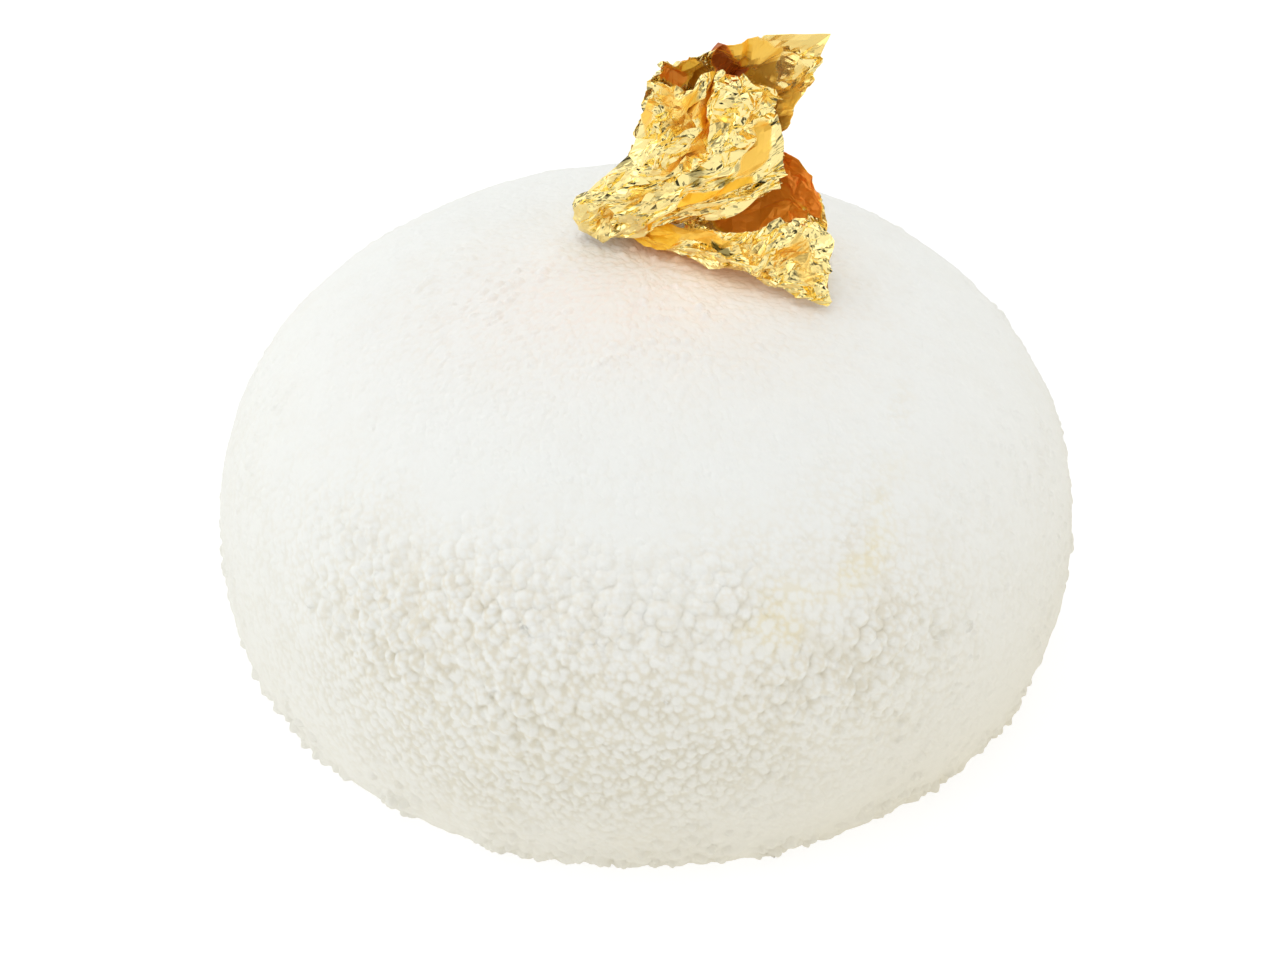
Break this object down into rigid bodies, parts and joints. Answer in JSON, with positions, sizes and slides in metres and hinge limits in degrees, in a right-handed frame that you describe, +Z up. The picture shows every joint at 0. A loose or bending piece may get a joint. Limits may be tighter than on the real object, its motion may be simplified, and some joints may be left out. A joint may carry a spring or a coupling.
{
  "type": "individual cream torte",
  "caption": "Single-serving domed cream torte in a grainy white velvet coat, with a crumpled piece of edible gold leaf standing on its crown.",
  "frame": {"origin": "middle of the flat base, on the surface the torte rests on", "axes": "+Z up, -Y towards the front of the torte, +X to its right"},
  "size_m": [0.0702, 0.0703, 0.0527],
  "materials": {
    "velvet_coat": "matt warm white, sprayed with fine frozen droplets of white chocolate",
    "gold": "bright crumpled gold leaf, mirror-like on each small facet"
  },
  "bodies": {
    "root": {"mousse_cake": "velvet_coat", "gold_leaf": "gold"}
  },
  "joints": []
}
